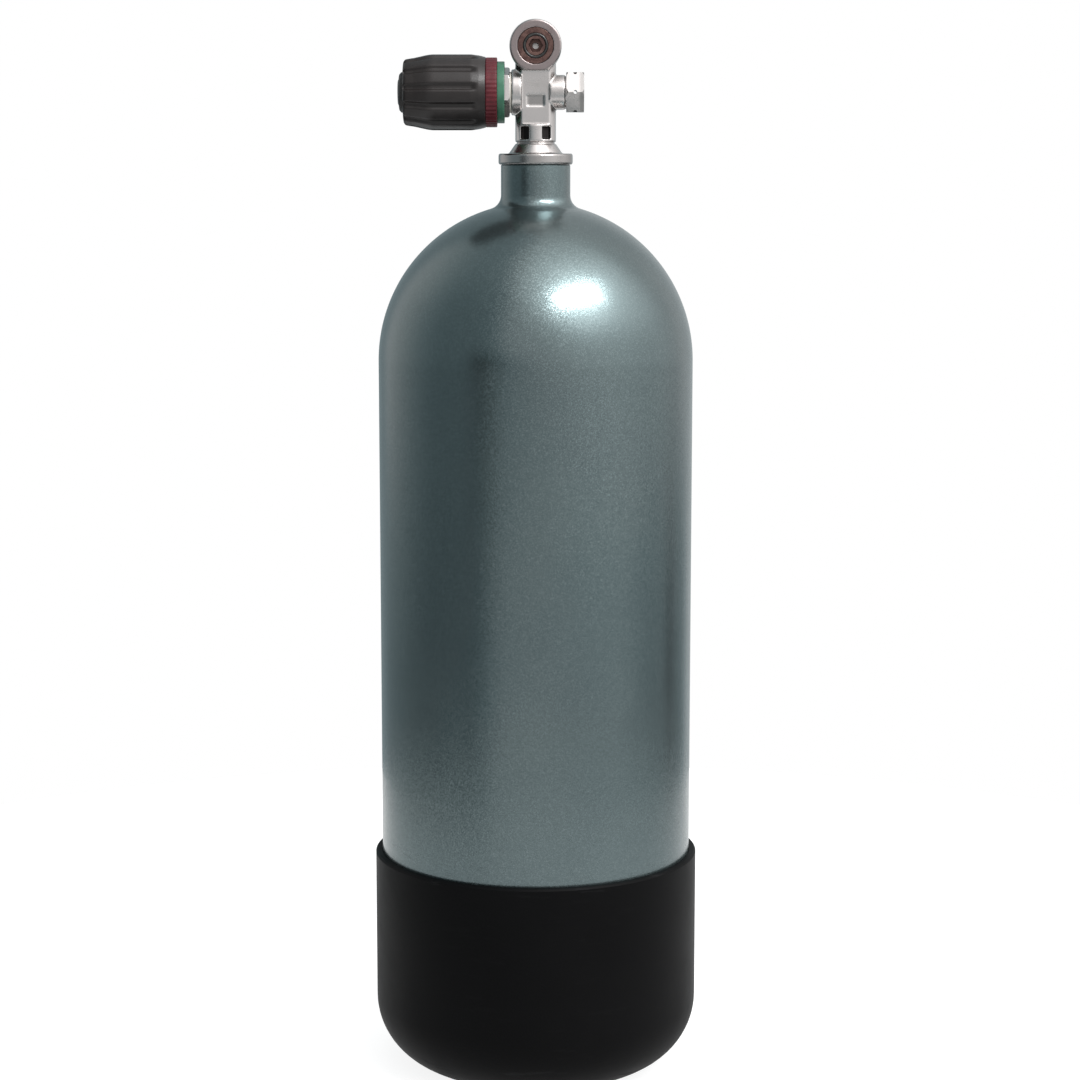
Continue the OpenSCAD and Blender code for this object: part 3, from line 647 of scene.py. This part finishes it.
# Machined and moulded nodes whose sharp edges are rounded: node, body, slot, material, edge width
EDGED = [
    ("boot", "root", "boot_rubber", BOOT, 0.6 * MM),
    ("bonnet_nut", "root", "chrome_plate", CHROME, 0.25 * MM),
    ("burst_plug", "root", "chrome_plate", CHROME, 0.25 * MM),
    ("outlet_insert", "root", "insert_bronze", BRONZE, 0.15 * MM),
]
for node, body, slot, material, width in EDGED:
    finished(softened(node, width), node, body, material)

# Nodes that keep their own mesh, with the material of what they are made of
PLAIN = {
    "neck_o_ring": SEAL, "outlet_face_o_ring": SEAL, "insert_inner_o_ring": SEAL, "stem_o_rings": SEAL,
    "dip_tube": BRASS, "seat_plug": PLUG_BRASS, "bonnet_gasket": WHITE, "stem_washer": WHITE,
    "seat_disc": WHITE, "knob_spacer": WHITE, "knob_core": BLACK, "stem": STEEL, "stem_nut": STEEL,
    "burst_gasket": COPPER, "burst_disc": COPPER,
}
for node, material in PLAIN.items():
    mesh = frame["nodes"][node].data
    mesh.materials.clear()
    mesh.materials.append(material)


# ---------------------------------------------------------------- stage, light and camera
def toward(azimuth_deg, elevation_deg=0.0):
    """Unit direction: azimuth 0 points from the object to the camera, positive turns to the right."""
    a, e = math.radians(azimuth_deg), math.radians(elevation_deg)
    return Vector((math.sin(a) * math.cos(e), -math.cos(a) * math.cos(e), math.sin(e)))


def make_floor(radius):
    """Round white table top under the object, lit evenly from within so that only a faint shadow shows."""
    t = np.arange(96) / 96 * TAU
    ring = np.stack([radius * np.cos(t), radius * np.sin(t), np.full(96, -0.4 * MM)], 1)
    mesh = bpy.data.meshes.new("table_top")
    mesh.from_pydata(ring.tolist(), [], [tuple(range(96))])
    f = Finish("table_white")
    straight = f.node("ShaderNodeLightPath", {}, {}, "Is Camera Ray")
    glow = f.mix(straight, (0.72, 0.72, 0.72), (1.0, 1.0, 1.0))
    mesh.materials.append(f.principled(
        base_color=(0.30, 0.30, 0.30), roughness=0.8, specular_ior_level=0.0,
        emission_color=glow, emission_strength=0.86))
    table = bpy.data.objects.new("table_top", mesh)
    bpy.context.scene.collection.objects.link(table)


def make_area_light(name, direction, distance, target, size, power):
    """Soft box at a distance along a direction from its target, facing the target."""
    light = bpy.data.lights.new(name, "AREA")
    light.shape = "RECTANGLE"
    light.size, light.size_y = size
    light.energy = power
    holder = bpy.data.objects.new(name, light)
    target = Vector(target)
    holder.location = target + direction * distance
    holder.rotation_euler = (target - holder.location).to_track_quat("-Z", "Y").to_euler()
    bpy.context.scene.collection.objects.link(holder)


KEY = toward(41, 47)


def make_surroundings():
    """Studio room by direction, in degrees around from the camera's side and up from level. It is white where
    the camera looks straight at it. For light and reflections it is dark on the left, lit in front, falls off
    on the right, and has a dim drape hanging in front, a bright panel and a glow round the key light."""
    world = bpy.data.worlds.new("studio")
    bpy.context.scene.world = world
    w = Nodes(world)
    way = w.node("ShaderNodeTexCoord", {}, {}, "Generated")
    x, y, z = (w.part(way, letter) for letter in "XYZ")
    around = x.angle_from(0 - y)
    up = z.angle_from((1 - z * z) ** 0.5)
    # the lit front and how it falls off to both sides
    high = up.above(-9, -5)
    left = (around - 9 * up.above(-6.8, -4.5)).above(-50, -22)
    limb = (0 - around).above(70, 122) * (0.10 + 0.34 * high)
    right = around.above(0, 52) * (0.50 * high - 0.08)
    fall = around.above(60, 96) * (0.36 - 0.16 * high) + around.above(100, 128) * (0.08 + 0.26 * high)
    low = (1 - up.above(-16, -12.5)) * (0.20 + 0.20 * around.above(10, 60))
    # dim shapes: the drape, whose edge slants to the right as it hangs, a patch and a narrow streak
    sunk = up + 4.8
    inside = around + 37 + (sunk - abs(sunk)) * 7.5
    drape = inside.between((-15, -5), (12, 54)) * up.between((-10.8, -9.2), (-2, 14))
    patch = around.between((-118, -104), (-86, -66)) * up.between((-14.2, -12.8), (-12.4, -11.2))
    streak = around.between((108, 114), (119, 124)) * up.between((-12.4, -11.6), (-9.2, -8.4))
    dip = drape * 0.50 + patch * 0.24 + streak * 0.55
    level = 0.26 + 0.12 * high + left * 0.60 + limb + right - fall - dip - low
    # behind the object and overhead
    behind = abs(around).above(132, 152)
    level = level + behind * (0.38 + 0.28 * around.above(0, 20) - level)
    top = up.above(30, 70)
    level = level + top * (0.50 + 0.44 * left - level)
    # the lit side, the bright panel and the glows
    side = around.between((46, 78), (92, 126)) * up.between((8, 28), (46, 72))
    panel = around.between((24, 36), (50, 68)) * up.between((18, 36), (48, 75))
    level = level + side * 0.75 + panel * 1.2
    for centre, near, extra in ((toward(48, 58), 0.70, 1.0), (KEY, 0.80, 0.8)):
        settings = {"operation": "DOT_PRODUCT"}
        share = w.node("ShaderNodeVectorMath", settings, {0: way, 1: tuple(centre)}, "Value")
        level = level + share.above(near, 1.0) * extra
    cool = w.mix(level.above(0.3, 0.9), (0.75, 0.94, 1.0), (1.0, 1.0, 1.0))
    lit = w.node("ShaderNodeBackground", {}, {"Color": cool, "Strength": level})
    seen = w.node("ShaderNodeBackground", {}, {"Color": (1, 1, 1), "Strength": 1.0})
    straight = w.node("ShaderNodeLightPath", {}, {}, "Is Camera Ray")
    both = w.node("ShaderNodeMixShader", {}, {0: straight, 1: lit, 2: seen})
    w.node("ShaderNodeOutputWorld", {}, {"Surface": both})


make_floor(TABLE_R)
make_area_light("key", KEY, distance=1.5, target=(0, 0, SHOULDER_Z), size=(0.90, 0.32), power=16)
make_surroundings()
bpy.context.scene.view_settings.view_transform = "Standard"

CAMERA_DISTANCE = 1.696
CAMERA_HEIGHT = 0.600
CAMERA_SIDE = 0.0028
CAMERA_PITCH_DEG = 8.36
CAMERA_LENS_MM = 87.3
camera = bpy.data.objects.new("camera", bpy.data.cameras.new("camera"))
camera.data.lens = CAMERA_LENS_MM
camera.data.sensor_width = 36
camera.location = (CAMERA_SIDE, -CAMERA_DISTANCE, CAMERA_HEIGHT)
camera.rotation_euler = (math.radians(90 - CAMERA_PITCH_DEG), 0, 0)
bpy.context.scene.collection.objects.link(camera)
bpy.context.scene.camera = camera
